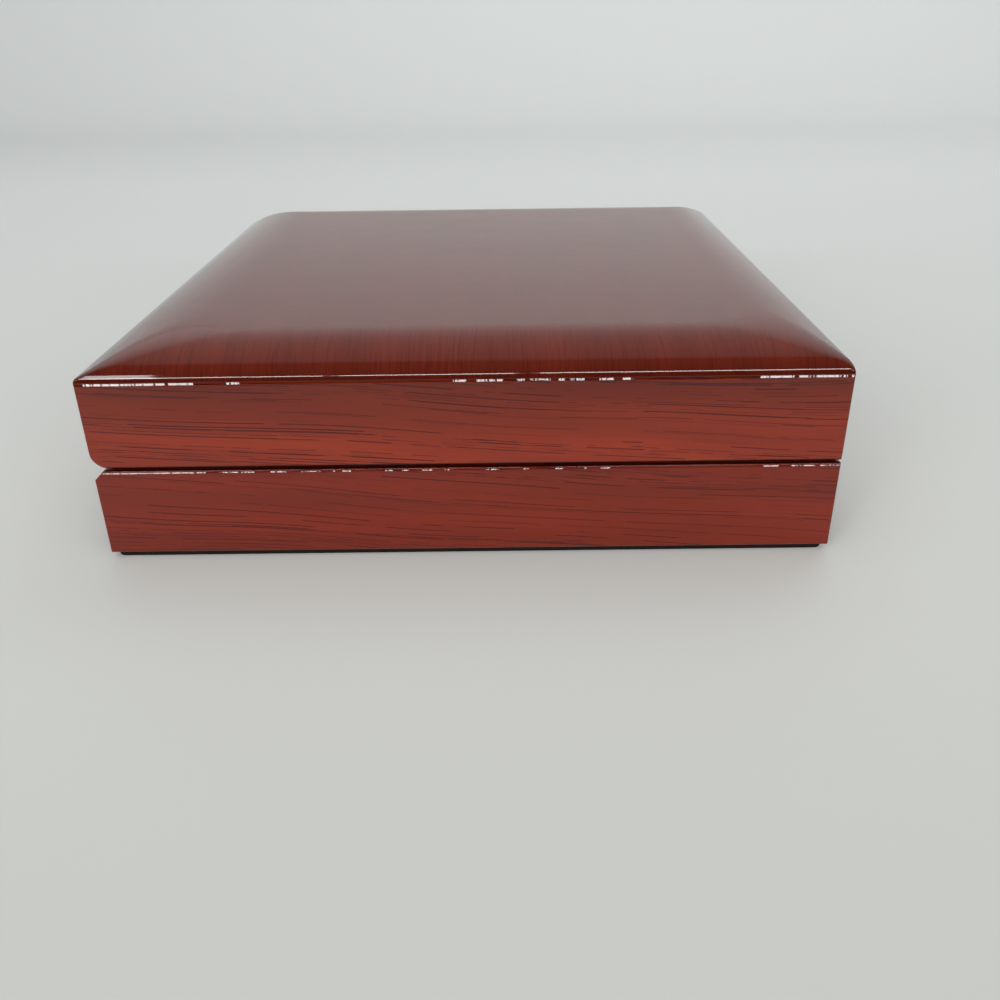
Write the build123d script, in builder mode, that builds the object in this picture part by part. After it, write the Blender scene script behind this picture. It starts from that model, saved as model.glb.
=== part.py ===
from build123d import *
import math
import os

os.makedirs("parts", exist_ok=True)

# The box stands on its felt at Z = 0. The opening side faces -X and the hinges are on the +X side.

# Overall size
box_width = 165.0            # opening side to hinge side
box_depth = 165.0
base_height = 21.3           # wood of the base, up to the middle of the seam
lid_wall_height = 20.0       # middle of the seam up to the top panel
seam_gap = 0.5               # between the two rims

# Walls
wall_thickness = 9.0
corner_radius = 0.6          # upright corners, in plan
plan_overrun = 5.0           # how far the plan's cut runs on past each frame
rim_radius = 0.5             # arris of both rims along the sides
lid_hinge_rim_radius = 0.85
base_hinge_rim_radius = 0.6
foot_radius = 0.9            # lower arris of the base
groove_round = 4.3           # finger groove, the lid's half
groove_chamfer = 2.5         # finger groove, the base's half
groove_softening = 1.0

# Crowned top panel
crown_height = 7.15
crown_slope = 27.7           # steepest slope of the crown, in degrees
side_edge_radius = 4.1
front_edge_radius = 1.2
back_edge_radius = 3.4
panel_tongue = 2.0           # step that drops between the lid's rails
tongue_clearance = 0.1

# Bottom
bottom_thickness = 4.0
rabbet_depth = 4.0           # how far the bottom panel enters the rails
rabbet_clearance = 0.1
felt_thickness = 1.1
felt_inset = 1.0
felt_corner_radius = 2.0

# Linings, of card covered in velvet
lining_thickness = 1.2
lining_setback = 1.0         # top edge below the rim

# Insert
soft_clearance = 0.3         # round every stuffed piece
divider_thickness = 2.4
divider_setback = 3.0        # top edge below the base's rim
bay_count = 3
ring_roll_count = 5
ring_roll_width = 12.5
ring_roll_rise = 0.15        # top above the dividers
ring_roll_waist = 0.9        # how far a roll's foot is drawn in on each side
ring_roll_end_angle = 83.0   # from the floor, as the ends lean inwards
pillow_margin = 4.0          # from the pillow to the walls of its bay
pillow_height = 11.0
pillow_edge = 3.5            # thickness of the pillow at its seam
pillow_draw_in = 2.0
lid_pad_height = 7.0
lid_pad_edge = 2.6
lid_pad_draw_in = 0.8
cushion_corner_radius = 3.0
crown_overrun = 1.0          # how far a cushion's crown runs on past its seam
cross_swell = 0.5            # extra fullness of the crown that runs across a cushion

# Stop hinges
hinge_length = 25.0
hinge_inset = 34.0           # middle of a hinge from the end of the box
knuckle_count = 5
knuckle_radius = 2.0
knuckle_gap = 0.16           # between neighbouring knuckles
pin_radius = 0.9
pin_clearance = 0.03
pin_end_chamfer = 0.3
barrel_clearance = 0.3       # barrel to the wood behind it
leaf_thickness = 1.2
leaf_gap = 0.3               # between the two leaves when shut
leaf_reach = 7.0             # leaf into the rim, from the wood's outer face
heel_thickness = 1.1         # shoulder that wraps the barrel
heel_clearance = 0.1
open_angle = 100.0
stop_margin = 0.6            # degrees left between the shoulders at full opening
mortise_clearance = 0.05

# Hinge screws
screw_count = 2              # in each leaf
screw_pitch = 14.0
screw_setback = 3.6          # from the wood's outer face
screw_head_radius = 1.7
screw_shank_radius = 0.9
screw_length = 7.0
screw_clearance = 0.05

# Magnets
magnet_radius = 1.8
magnet_thickness = 2.5
magnet_clearance = 0.08
magnet_inset = 34.0          # from the end of the box

# Heights
wood_bottom_z = felt_thickness
seam_z = wood_bottom_z + base_height
base_rim_z = seam_z - seam_gap / 2
lid_rim_z = seam_z + seam_gap / 2
wall_top_z = seam_z + lid_wall_height
panel_underside_z = wall_top_z - panel_tongue
ceiling_z = panel_underside_z - lining_thickness
floor_z = wood_bottom_z + bottom_thickness + lining_thickness
base_wall = base_rim_z - wood_bottom_z
lid_wall = wall_top_z - lid_rim_z

# Plan sizes inside the walls, and inside the linings
half_width = box_width / 2
half_depth = box_depth / 2
inner_width = box_width - 2 * wall_thickness
inner_depth = box_depth - 2 * wall_thickness
clear_width = inner_width - 2 * lining_thickness
clear_depth = inner_depth - 2 * lining_thickness

# Places of the hinges, screws and magnets
barrel_offset = knuckle_radius + barrel_clearance
pin_x = half_width + barrel_offset
hinge_places = [-(half_depth - hinge_inset), half_depth - hinge_inset]
screw_steps = [(number - (screw_count - 1) / 2) * screw_pitch for number in range(screw_count)]
screw_places = [hinge_y + step for hinge_y in hinge_places for step in screw_steps]
screw_x = half_width - screw_setback
magnet_x = (groove_round + wall_thickness) / 2 - half_width     # middle of the flat beside the finger groove
magnet_places = [(magnet_x, side * (half_depth - magnet_inset)) for side in (-1, 1)]

# The rails and linings of a frame, with the way each one faces
side_facings = {"front": (-1, 0), "back": (1, 0), "right": (0, -1), "left": (0, 1)}


def save(part, name):
    part.label = name
    export_step(part, f"parts/{name}.step")


# Upright plane seen from the right side: local X is X and local Y is up
def side_plane(x, y, z):
    return Plane((x, y, z), x_dir=(1, 0, 0), z_dir=(0, -1, 0))


# Upright plane seen from the back: local X is Y and local Y is up
def end_plane(x, y, z):
    return Plane((x, y, z), x_dir=(0, 1, 0), z_dir=(1, 0, 0))


# Crown outline: a roundover at each edge, a gentle arc that ends level, and a flat between them
def crown_outline(span, low_radius, high_radius):
    slope = math.radians(crown_slope)
    with BuildSketch() as outline:
        with BuildLine():
            flat_ends = []
            for side, edge_radius in ((-1, low_radius), (1, high_radius)):
                rise = crown_height - edge_radius * math.cos(slope)
                edge = JernArc((side * span / 2, 0), (0, 1), edge_radius, side * (90 - crown_slope))
                crown = JernArc(edge @ 1, edge % 1, rise / (1 - math.cos(slope)), side * crown_slope)
                flat_ends.append(crown @ 1)
            Line(flat_ends[0], flat_ends[1])
            Line((-span / 2, 0), (span / 2, 0))
        make_face()
    return outline.sketch


# Leaf mortises and screw holes of one rim. Direction is 1 up into the lid and -1 down into the base.
def hinge_seats(rim_z, direction):
    mortise_depth = (leaf_gap - seam_gap) / 2 + leaf_thickness
    mortise_reach = leaf_reach + mortise_clearance
    with BuildPart() as seats:
        with BuildSketch(Plane.XY.offset(rim_z)):
            with Locations(*[(half_width - mortise_reach / 2, hinge_y) for hinge_y in hinge_places]):
                Rectangle(mortise_reach, hinge_length + 2 * mortise_clearance)
        extrude(amount=direction * mortise_depth)
        with BuildSketch(Plane.XY.offset(rim_z)):
            with Locations(*[(screw_x, screw_y) for screw_y in screw_places]):
                Circle(screw_shank_radius + screw_clearance)
        extrude(amount=direction * screw_length)
    return seats.part


# Pockets for the magnets of one rim
def magnet_pockets(rim_z, direction):
    with BuildPart() as pockets:
        with BuildSketch(Plane.XY.offset(rim_z)):
            with Locations(*magnet_places):
                Circle(magnet_radius + magnet_clearance)
        extrude(amount=direction * magnet_thickness)
    return pockets.part


# Lid top panel: two crossing crown outlines, mitred over each other at the corners
side_crown = crown_outline(box_width, front_edge_radius, back_edge_radius)
end_crown = crown_outline(box_depth, side_edge_radius, side_edge_radius)
with BuildPart() as lid_top_panel:
    with BuildSketch(side_plane(0, 0, wall_top_z)):
        add(side_crown)
    extrude(amount=half_depth, both=True)
    with BuildSketch(end_plane(0, 0, wall_top_z)):
        add(end_crown)
    extrude(amount=half_width, both=True, mode=Mode.INTERSECT)
    with BuildSketch(Plane.XY.offset(wall_top_z)):
        RectangleRounded(box_width, box_depth, corner_radius)
    extrude(amount=crown_height, mode=Mode.INTERSECT)
    with BuildSketch(Plane.XY.offset(panel_underside_z)):
        Rectangle(inner_width - 2 * tongue_clearance, inner_depth - 2 * tongue_clearance)
    extrude(amount=panel_tongue)
save(lid_top_panel.part, "lid_top_panel")

# Base frame in one piece, before it is parted at the mitres
base_hinge_seats = hinge_seats(base_rim_z, -1)
base_magnet_pockets = magnet_pockets(base_rim_z, -1)
with BuildPart() as base_frame:
    with BuildSketch(side_plane(0, half_depth, wood_bottom_z)) as side_view:
        with Locations((0, base_wall / 2)):
            Rectangle(box_width, base_wall)
        fillet(side_view.vertices().group_by(Axis.Y)[0], foot_radius)
        fillet(side_view.vertices().group_by(Axis.Y)[-1].sort_by(Axis.X)[-1], base_hinge_rim_radius)
        chamfer(side_view.vertices().group_by(Axis.Y)[-1].sort_by(Axis.X)[0], groove_chamfer)
        fillet(side_view.vertices().sort_by_distance((-half_width, base_wall))[:2], groove_softening)
    extrude(amount=box_depth)
    with BuildSketch(end_plane(-half_width, 0, wood_bottom_z)) as end_view:
        with Locations((0, base_wall / 2)):
            Rectangle(box_depth, base_wall)
        fillet(end_view.vertices().group_by(Axis.Y)[0], foot_radius)
        fillet(end_view.vertices().group_by(Axis.Y)[-1], rim_radius)
    extrude(amount=box_width, mode=Mode.INTERSECT)
    with BuildSketch(Plane.XY.offset(wood_bottom_z - plan_overrun)):
        RectangleRounded(box_width, box_depth, corner_radius)
        Rectangle(inner_width, inner_depth, mode=Mode.SUBTRACT)
    extrude(amount=base_wall + 2 * plan_overrun, mode=Mode.INTERSECT)
    with BuildSketch(Plane.XY.offset(wood_bottom_z)):
        Rectangle(inner_width + 2 * rabbet_depth, inner_depth + 2 * rabbet_depth)
    extrude(amount=bottom_thickness, mode=Mode.SUBTRACT)
    add(base_hinge_seats, mode=Mode.SUBTRACT)
    add(base_magnet_pockets, mode=Mode.SUBTRACT)

# Lid frame in one piece, before it is parted at the mitres
lid_hinge_seats = hinge_seats(lid_rim_z, 1)
lid_magnet_pockets = magnet_pockets(lid_rim_z, 1)
with BuildPart() as lid_frame:
    with BuildSketch(side_plane(0, half_depth, lid_rim_z)) as side_view:
        with Locations((0, lid_wall / 2)):
            Rectangle(box_width, lid_wall)
        fillet(side_view.vertices().group_by(Axis.Y)[0].sort_by(Axis.X)[-1], lid_hinge_rim_radius)
        fillet(side_view.vertices().group_by(Axis.Y)[0].sort_by(Axis.X)[0], groove_round)
    extrude(amount=box_depth)
    with BuildSketch(end_plane(-half_width, 0, lid_rim_z)) as end_view:
        with Locations((0, lid_wall / 2)):
            Rectangle(box_depth, lid_wall)
        fillet(end_view.vertices().group_by(Axis.Y)[0], rim_radius)
    extrude(amount=box_width, mode=Mode.INTERSECT)
    with BuildSketch(Plane.XY.offset(lid_rim_z - plan_overrun)):
        RectangleRounded(box_width, box_depth, corner_radius)
        Rectangle(inner_width, inner_depth, mode=Mode.SUBTRACT)
    extrude(amount=lid_wall + 2 * plan_overrun, mode=Mode.INTERSECT)
    add(lid_hinge_seats, mode=Mode.SUBTRACT)
    add(lid_magnet_pockets, mode=Mode.SUBTRACT)


# Plan of one rail: a strip along its wall, cut to a mitre at each end
def rail_plan(facing):
    face_x, face_y = facing
    inner_x = inner_width / 2
    inner_y = inner_depth / 2
    if face_x:
        outside = face_x * half_width
        inside = face_x * inner_x
        return [(outside, -half_depth), (outside, half_depth), (inside, inner_y), (inside, -inner_y)]
    outside = face_y * half_depth
    inside = face_y * inner_y
    return [(-half_width, outside), (half_width, outside), (inner_x, inside), (-inner_x, inside)]


# The eight rails
for frame_name, frame in (("base", base_frame.part), ("lid", lid_frame.part)):
    for side, facing in side_facings.items():
        with BuildPart() as rail:
            add(frame)
            with BuildSketch(Plane.XY.offset(wood_bottom_z)):
                Polygon(*rail_plan(facing), align=None)
            extrude(amount=wall_top_z - wood_bottom_z, mode=Mode.INTERSECT)
        save(rail.part, f"{frame_name}_{side}_rail")

# Bottom panel, in the rabbet
with BuildPart() as base_bottom_panel:
    with BuildSketch(Plane.XY.offset(wood_bottom_z)):
        rabbet_room = 2 * (rabbet_depth - rabbet_clearance)
        Rectangle(inner_width + rabbet_room, inner_depth + rabbet_room)
    extrude(amount=bottom_thickness)
save(base_bottom_panel.part, "base_bottom_panel")

# Felt sole, over the bottom panel and the rails
with BuildPart() as base_felt_sole:
    with BuildSketch():
        RectangleRounded(box_width - 2 * felt_inset, box_depth - 2 * felt_inset, felt_corner_radius)
    extrude(amount=felt_thickness)
save(base_felt_sole.part, "base_felt_sole")

# Velvet-covered cards on the floor and against the top panel
card_levels = {"base_floor_lining": floor_z - lining_thickness, "lid_ceiling_lining": ceiling_z}
for card_name, card_z in card_levels.items():
    with BuildPart() as card:
        with BuildSketch(Plane.XY.offset(card_z)):
            Rectangle(inner_width, inner_depth)
        extrude(amount=lining_thickness)
    save(card.part, card_name)

# Wall linings: front and back run the whole way, right and left stand between them
for frame_name, lower_z, upper_z in (
    ("base", floor_z, base_rim_z - lining_setback),
    ("lid", lid_rim_z + lining_setback, ceiling_z),
):
    for side, (face_x, face_y) in side_facings.items():
        middle_x = face_x * (inner_width - lining_thickness) / 2
        middle_y = face_y * (inner_depth - lining_thickness) / 2
        with BuildPart() as lining:
            with BuildSketch(Plane.XY.offset(lower_z)):
                with Locations((middle_x, middle_y)):
                    if face_x:
                        Rectangle(lining_thickness, inner_depth)
                    else:
                        Rectangle(clear_width, lining_thickness)
            extrude(amount=upper_z - lower_z)
        save(lining.part, f"{frame_name}_{side}_lining")

# Insert layout: the ring rolls lie next to the front, and the bays fill what is left
roll_radius = ring_roll_width / 2
roll_pitch = ring_roll_width + soft_clearance
first_roll_x = -clear_width / 2 + soft_clearance + roll_radius
divider_x = first_roll_x + ring_roll_count * roll_pitch - roll_radius + divider_thickness / 2
divider_height = base_rim_z - divider_setback - floor_z
ring_roll_height = divider_height + ring_roll_rise
bay_start_x = divider_x + divider_thickness / 2
bay_length = clear_width / 2 - bay_start_x
bay_middle_x = bay_start_x + bay_length / 2
bay_width = (clear_depth - (bay_count - 1) * divider_thickness) / bay_count
bay_pitch = bay_width + divider_thickness

# Long divider between the rolls and the bays
with BuildPart() as long_divider:
    with BuildSketch(Plane.XY.offset(floor_z)):
        with Locations((divider_x, 0)):
            Rectangle(divider_thickness, clear_depth)
    extrude(amount=divider_height)
save(long_divider.part, "long_divider")

# Bay dividers, from the long divider to the back lining
for number in range(1, bay_count):
    with BuildPart() as bay_divider:
        with BuildSketch(Plane.XY.offset(floor_z)):
            with Locations((bay_middle_x, (number - bay_count / 2) * bay_pitch)):
                Rectangle(bay_length, divider_thickness)
        extrude(amount=divider_height)
    save(bay_divider.part, f"bay_divider_{number}")

# Ring rolls: round on top, drawn in at the foot, with ends that lean inwards
roll_length = clear_depth - 2 * soft_clearance
roll_cut_height = 2 * ring_roll_height
for number in range(1, ring_roll_count + 1):
    roll_x = first_roll_x + (number - 1) * roll_pitch
    foot_half = roll_radius - ring_roll_waist
    shoulder = ring_roll_height - roll_radius
    with BuildPart() as ring_roll:
        with BuildSketch(side_plane(roll_x, 0, floor_z)):
            with BuildLine():
                Line((-foot_half, 0), (foot_half, 0))
                Line((foot_half, 0), (roll_radius, shoulder))
                ThreePointArc((roll_radius, shoulder), (0, ring_roll_height), (-roll_radius, shoulder))
                Line((-roll_radius, shoulder), (-foot_half, 0))
            make_face()
        extrude(amount=roll_length / 2, both=True)
        with BuildSketch(end_plane(roll_x - ring_roll_width, 0, floor_z)):
            Trapezoid(roll_length, roll_cut_height, ring_roll_end_angle, align=(Align.CENTER, Align.MIN))
        extrude(amount=2 * ring_roll_width, mode=Mode.INTERSECT)
    save(ring_roll.part, f"ring_roll_{number}")


# Cushion's seam line, seen from above: four sides, each drawn in between its corners
def drawn_in_sides(half_length, half_breadth, draw_in):
    with BuildSketch() as outline:
        with BuildLine():
            for turn in (1, -1):
                corner_x = turn * half_length
                corner_y = turn * half_breadth
                drawn_x = turn * (half_length - draw_in)
                drawn_y = turn * (draw_in - half_breadth)
                ThreePointArc((-corner_x, -corner_y), (0, drawn_y), (corner_x, -corner_y))
                ThreePointArc((corner_x, -corner_y), (drawn_x, 0), (corner_x, corner_y))
        make_face()
        fillet(outline.vertices(), cushion_corner_radius)
    return outline.sketch


# Cushion seen from one side: a crown above its edge and, if it is loose, one below too
def crowned_section(reach, height, upper_edge, lower_edge, swell):
    with BuildSketch() as outline:
        with BuildLine():
            Line((-reach, lower_edge), (-reach, upper_edge))
            ThreePointArc((-reach, upper_edge), (0, height + swell), (reach, upper_edge))
            Line((reach, upper_edge), (reach, lower_edge))
            if lower_edge > 0:
                ThreePointArc((reach, lower_edge), (0, -swell), (-reach, lower_edge))
            else:
                Line((reach, 0), (-reach, 0))
        make_face()
    return outline.sketch


# Stuffed cushion on a seat plane, crowned both ways
def cushion(seat, length, width, height, upper_edge, lower_edge, draw_in):
    seam_line = drawn_in_sides(length / 2, width / 2, draw_in)
    long_section = crowned_section(length / 2 + crown_overrun, height, upper_edge, lower_edge, 0)
    cross_section = crowned_section(width / 2 + crown_overrun, height, upper_edge, lower_edge, cross_swell)
    with BuildPart() as body:
        with BuildSketch(seat.offset(-crown_overrun)):
            add(seam_line)
        extrude(amount=height + 2 * crown_overrun)
        with BuildSketch(Plane(seat.origin, x_dir=seat.x_dir, z_dir=-seat.y_dir).offset(-width)):
            add(long_section)
        extrude(amount=2 * width, mode=Mode.INTERSECT)
        with BuildSketch(Plane(seat.origin, x_dir=seat.y_dir, z_dir=seat.x_dir).offset(-length)):
            add(cross_section)
        extrude(amount=2 * length, mode=Mode.INTERSECT)
    return body.part


# Bracelet pillow, in the last bay
bracelet_pillow = cushion(
    seat=Plane((bay_middle_x, (bay_count - 1) / 2 * bay_pitch, floor_z)),
    length=bay_length - 2 * pillow_margin,
    width=bay_width - 2 * pillow_margin,
    height=pillow_height,
    upper_edge=(pillow_height + pillow_edge) / 2,
    lower_edge=(pillow_height - pillow_edge) / 2,
    draw_in=pillow_draw_in,
)
save(bracelet_pillow, "bracelet_pillow")

# Padded panel in the lid, crowned towards the contents
lid_pad = cushion(
    seat=Plane((0, 0, ceiling_z), x_dir=(1, 0, 0), z_dir=(0, 0, -1)),
    length=clear_width - 2 * soft_clearance,
    width=clear_depth - 2 * soft_clearance,
    height=lid_pad_height,
    upper_edge=lid_pad_edge,
    lower_edge=0,
    draw_in=lid_pad_draw_in,
)
save(lid_pad, "lid_pad")

# Magnets, flush with the rims
for frame_name, rim_z, direction in (("base", base_rim_z, -1), ("lid", lid_rim_z, 1)):
    with BuildPart() as magnets:
        with BuildSketch(Plane.XY.offset(rim_z)):
            with Locations(*magnet_places):
                Circle(magnet_radius)
        extrude(amount=direction * magnet_thickness)
    save(magnets.part, f"{frame_name}_magnets")


# One leaf of a stop hinge. Direction is 1 for the lid's leaf and -1 for the base's.
def hinge_leaf(hinge_y, direction):
    middle = side_plane(pin_x, hinge_y, seam_z)
    knuckle_pitch = hinge_length / knuckle_count
    own_remainder = 1 if direction > 0 else 0
    heel_radius = knuckle_radius + heel_thickness
    heel_back = mortise_clearance - barrel_offset
    stop = math.radians((open_angle + stop_margin) / 2)
    face = direction * leaf_gap / 2
    beyond = 2 * heel_radius
    with BuildPart() as leaf:
        # flat leaf, from the barrel into the rim
        with BuildSketch(middle):
            with Locations((-(barrel_offset + leaf_reach) / 2, face + direction * leaf_thickness / 2)):
                Rectangle(barrel_offset + leaf_reach, leaf_thickness)
        extrude(amount=hinge_length / 2, both=True)
        # shoulder over the barrel, which meets the other leaf's shoulder at full opening
        with BuildSketch(middle):
            Circle(heel_radius)
            Polygon(
                (0, face),
                (beyond * math.cos(stop), direction * beyond * math.sin(stop)),
                (heel_back, direction * beyond),
                (heel_back, face),
                align=None,
                mode=Mode.INTERSECT,
            )
        extrude(amount=hinge_length / 2, both=True)
        # own knuckles, and room for the other leaf's
        for number in range(knuckle_count):
            knuckle_y = hinge_y + (number - (knuckle_count - 1) / 2) * knuckle_pitch
            is_own = number % 2 == own_remainder
            with BuildSketch(side_plane(pin_x, knuckle_y, seam_z)):
                Circle(knuckle_radius if is_own else knuckle_radius + heel_clearance)
            if is_own:
                extrude(amount=(knuckle_pitch - knuckle_gap) / 2, both=True)
            else:
                extrude(amount=(knuckle_pitch + knuckle_gap) / 2, both=True, mode=Mode.SUBTRACT)
        with BuildSketch(middle):
            Circle(pin_radius + pin_clearance)
        extrude(amount=hinge_length, both=True, mode=Mode.SUBTRACT)
        with Locations(*[screw_seat(hinge_y + step, direction) for step in screw_steps]):
            CounterSinkHole(
                screw_shank_radius + screw_clearance,
                screw_head_radius + screw_clearance,
                depth=leaf_thickness,
                counter_sink_angle=90,
            )
    return leaf.part


# Plane on a screw's head, facing out of its leaf
def screw_seat(screw_y, direction):
    leaf_face_z = seam_z + direction * leaf_gap / 2
    return Plane((screw_x, screw_y, leaf_face_z), x_dir=(1, 0, 0), z_dir=(0, 0, -direction))


# One countersunk screw, head up at the origin
with BuildPart() as hinge_screw:
    with BuildSketch(Plane.XZ):
        Polygon(
            (0, 0),
            (screw_head_radius, 0),
            (screw_shank_radius, screw_shank_radius - screw_head_radius),
            (screw_shank_radius, -screw_length),
            (0, -screw_length),
            align=None,
        )
    revolve(axis=Axis.Z)

# The two hinges: both leaves of each, a pin through the knuckles, and the screws
for frame_name, direction in (("base", -1), ("lid", 1)):
    for number, hinge_y in enumerate(hinge_places, start=1):
        save(hinge_leaf(hinge_y, direction), f"{frame_name}_hinge_leaf_{number}")
    with BuildPart() as screws:
        with Locations(*[screw_seat(screw_y, direction) for screw_y in screw_places]):
            add(hinge_screw.part)
    save(screws.part, f"{frame_name}_hinge_screws")

for number, hinge_y in enumerate(hinge_places, start=1):
    with BuildPart() as hinge_pin:
        with BuildSketch(side_plane(pin_x, hinge_y + hinge_length / 2, seam_z)):
            Circle(pin_radius)
        extrude(amount=hinge_length)
        chamfer(hinge_pin.edges().filter_by(GeomType.CIRCLE), pin_end_chamfer)
    save(hinge_pin.part, f"hinge_pin_{number}")
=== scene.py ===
import math

import bpy
from mathutils import Euler, Matrix, Vector, noise


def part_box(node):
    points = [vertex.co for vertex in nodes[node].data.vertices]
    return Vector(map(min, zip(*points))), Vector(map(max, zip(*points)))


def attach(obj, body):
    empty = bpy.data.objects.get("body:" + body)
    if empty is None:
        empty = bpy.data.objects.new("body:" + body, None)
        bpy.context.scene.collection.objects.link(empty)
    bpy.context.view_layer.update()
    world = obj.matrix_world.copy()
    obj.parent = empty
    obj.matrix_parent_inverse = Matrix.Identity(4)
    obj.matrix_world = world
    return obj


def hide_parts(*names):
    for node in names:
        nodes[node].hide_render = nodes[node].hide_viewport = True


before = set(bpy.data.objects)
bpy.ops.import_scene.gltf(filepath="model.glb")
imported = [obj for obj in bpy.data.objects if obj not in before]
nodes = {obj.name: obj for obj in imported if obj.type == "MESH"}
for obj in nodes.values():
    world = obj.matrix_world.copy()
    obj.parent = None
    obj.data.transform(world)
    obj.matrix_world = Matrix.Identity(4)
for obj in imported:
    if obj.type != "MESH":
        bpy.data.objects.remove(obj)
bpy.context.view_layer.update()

scene = bpy.context.scene
scene.view_settings.view_transform = "Standard"
bpy.ops.object.select_all(action="DESELECT")
boxHalf = 0.0825        # half the width of the wood
print("frame loaded:", len(nodes), "pieces")


# Camera, at the photograph's viewing angle
cameraSettings = {
    "place": (0.00822, -0.27075, 0.11129),
    "lookDown": 27.376,      # degrees below level
    "turn": 0.281,           # degrees to the left
    "roll": 0.803,           # degrees clockwise
    "lens": 34.076,
}


def makeCamera(settings):
    aim = Euler((math.radians(90 - settings["lookDown"]), 0, math.radians(settings["turn"]))).to_matrix()
    tilt = Matrix.Rotation(-math.radians(settings["roll"]), 3, "Z")
    bpy.ops.object.camera_add(location=settings["place"], rotation=(aim @ tilt).to_euler())
    camera = bpy.context.object
    camera.name = "photoCamera"
    camera.data.lens = settings["lens"]
    camera.data.sensor_width = 36
    camera.data.clip_start = 0.005
    scene.camera = camera


makeCamera(cameraSettings)
print("camera placed")


# Node tree helpers
nodeSpacing = (200, -180)


def addNode(tree, kind, column, row, **settings):
    node = tree.nodes.new(kind)
    node.location = (column * nodeSpacing[0], row * nodeSpacing[1])
    for name, value in settings.items():
        setattr(node, name, value)
    return node


def newGroup(name, inputs, outputs):
    tree = bpy.data.node_groups.new(name, "ShaderNodeTree")
    for socketName, kind, value in inputs:
        socket = tree.interface.new_socket(name=socketName, in_out="INPUT", socket_type=kind)
        if value is not None:
            socket.default_value = value
    for socketName, kind in outputs:
        tree.interface.new_socket(name=socketName, in_out="OUTPUT", socket_type=kind)
    start = addNode(tree, "NodeGroupInput", -6, 0)
    end = addNode(tree, "NodeGroupOutput", 6, 0)
    return tree, start, end


def useGroup(tree, group, column, row, **values):
    node = addNode(tree, "ShaderNodeGroup", column, row, node_tree=group)
    for name, value in values.items():
        node.inputs[name].default_value = value
    return node


def newMaterial(name, roughness):
    material = bpy.data.materials.new(name)
    material.use_nodes = True
    tree = material.node_tree
    shader = tree.nodes["Principled BSDF"]
    shader.inputs["Roughness"].default_value = roughness
    return material, tree, shader


def mathStep(tree, operation, column, row, first, second=None, third=None):
    node = addNode(tree, "ShaderNodeMath", column, row, operation=operation)
    for index, value in enumerate((first, second, third)):
        if value is None:
            continue
        if isinstance(value, (int, float)):
            node.inputs[index].default_value = value
        else:
            tree.links.new(value, node.inputs[index])
    return node.outputs[0]


def rescale(tree, column, row, value, low, high, outLow=0.0, outHigh=1.0, smooth=True):
    node = addNode(tree, "ShaderNodeMapRange", column, row, clamp=True)
    node.interpolation_type = "SMOOTHSTEP" if smooth else "LINEAR"
    tree.links.new(value, node.inputs["Value"])
    for name, number in (("From Min", low), ("From Max", high), ("To Min", outLow), ("To Max", outHigh)):
        node.inputs[name].default_value = number
    return node.outputs["Result"]


def mixColours(tree, column, row, factor, first, second, blend="MIX"):
    node = addNode(tree, "ShaderNodeMix", column, row, data_type="RGBA", blend_type=blend)
    for index, value in ((0, factor), (6, first), (7, second)):
        if isinstance(value, (int, float)):
            node.inputs[index].default_value = value
        elif isinstance(value, tuple):
            node.inputs[index].default_value = (*value, 1)
        else:
            tree.links.new(value, node.inputs[index])
    return node.outputs[2]


def colourRamp(tree, column, row, stops):
    node = addNode(tree, "ShaderNodeValToRGB", column, row)
    elements = node.color_ramp.elements
    elements[0].position, elements[1].position = stops[0][0], stops[-1][0]
    elements[0].color, elements[1].color = (*stops[0][1], 1), (*stops[-1][1], 1)
    for position, colour in stops[1:-1]:
        elements.new(position).color = (*colour, 1)
    return node


def stretchedNoise(tree, column, row, vector, size, detail=2.0, roughness=0.5):
    # size is how far the pattern reaches along X, Y and Z, in metres
    stretch = addNode(tree, "ShaderNodeMapping", column, row)
    stretch.inputs["Scale"].default_value = tuple(1 / length for length in size)
    tree.links.new(vector, stretch.inputs["Vector"])
    pattern = addNode(tree, "ShaderNodeTexNoise", column + 1, row)
    pattern.inputs["Scale"].default_value = 1.0
    pattern.inputs["Detail"].default_value = detail
    pattern.inputs["Roughness"].default_value = roughness
    tree.links.new(stretch.outputs["Vector"], pattern.inputs["Vector"])
    return pattern.outputs["Fac"]


def evenNoise(tree, column, row, vector, size, detail=2.0):
    return stretchedNoise(tree, column, row, vector, (size, size, size), detail)


def addBump(tree, shader, height, depth):
    bump = addNode(tree, "ShaderNodeBump", -2, 3)
    bump.inputs["Strength"].default_value = 1.0
    bump.inputs["Distance"].default_value = depth
    tree.links.new(height, bump.inputs["Height"])
    tree.links.new(bump.outputs["Normal"], shader.inputs["Normal"])


# Open-pored veneer with its grain along X. Sizes are how far each pattern reaches along X, Y and Z.
veneer = {
    "drift": (0.110, 0.034, 0.034),         # slow wander of the grain
    "sway": 0.011,                          # how far it wanders
    "clusters": (0.030, 0.0040, 0.0040),
    "fibre": (0.022, 0.0005, 0.0005),
    "figure": (0.060, 0.0060, 0.0060),
    "crowd": (0.525, 0.40),                 # noise level that a pore needs, outside and inside a cluster
    # girth is a pore's radius as a share of the spacing
    "coarse": {"spacing": 0.00054, "length": 0.0190, "girth": 0.28},
    "fine": {"spacing": 0.00038, "length": 0.0095, "girth": 0.28},
    "fineShare": 0.75,
    "taper": (-0.01, 0.05),
    "edge": (-0.01, 0.10),
    "noiseLines": 61.0,                     # spreads the tubes over the noise, so that each has its own line
}


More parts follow.
